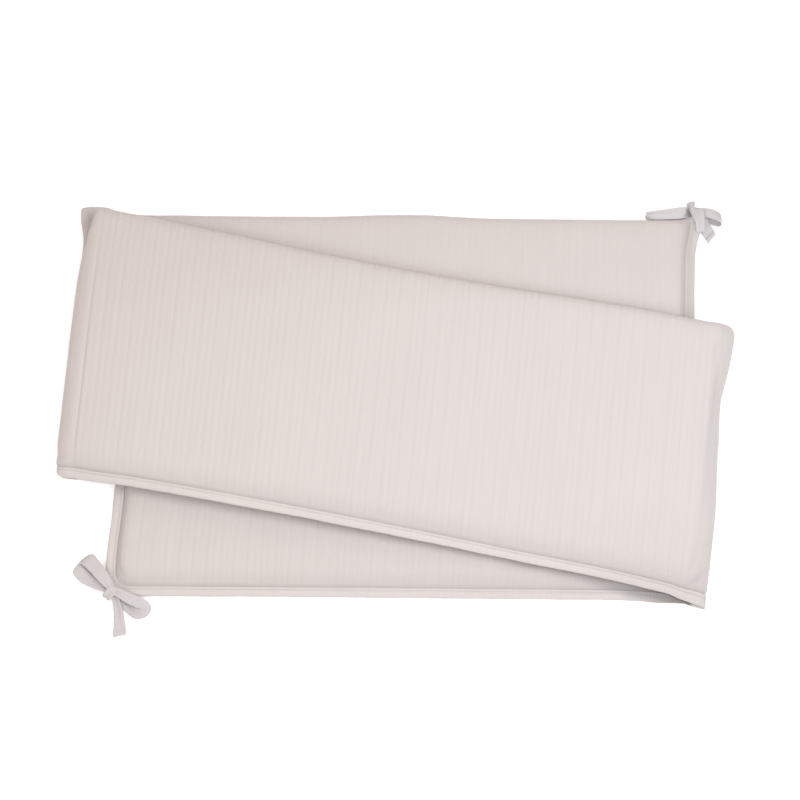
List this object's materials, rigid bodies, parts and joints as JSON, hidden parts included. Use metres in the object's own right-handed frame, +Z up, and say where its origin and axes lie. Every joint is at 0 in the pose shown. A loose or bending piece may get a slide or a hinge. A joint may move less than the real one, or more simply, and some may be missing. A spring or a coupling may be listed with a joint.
{
  "type": "folded crib bumper",
  "caption": "Padded band of ribbed cotton with a topstitched hem, folded letter-wise and lying flat, with a bow of woven tape tied at each visible outer corner.",
  "frame": {"origin": "middle of the whole model's box, on the surface that the lower panel lies on", "axes": "+X along the folded band's long side, from the lower left bow's side to the upper right bow's side; +Y from the stitched hem towards the plain top edge; +Z up"},
  "size_m": [0.6757, 0.4392, 0.0595],
  "materials": {
    "ribbed_cotton": "matt ribbed cotton jersey, pale warm grey-beige",
    "cotton_tape": "matt woven cotton tape, pale warm grey"
  },
  "bodies": {
    "root": {"pad": "ribbed_cotton", "tie_lower_left": "cotton_tape", "tie_upper_right": "cotton_tape"}
  },
  "joints": []
}
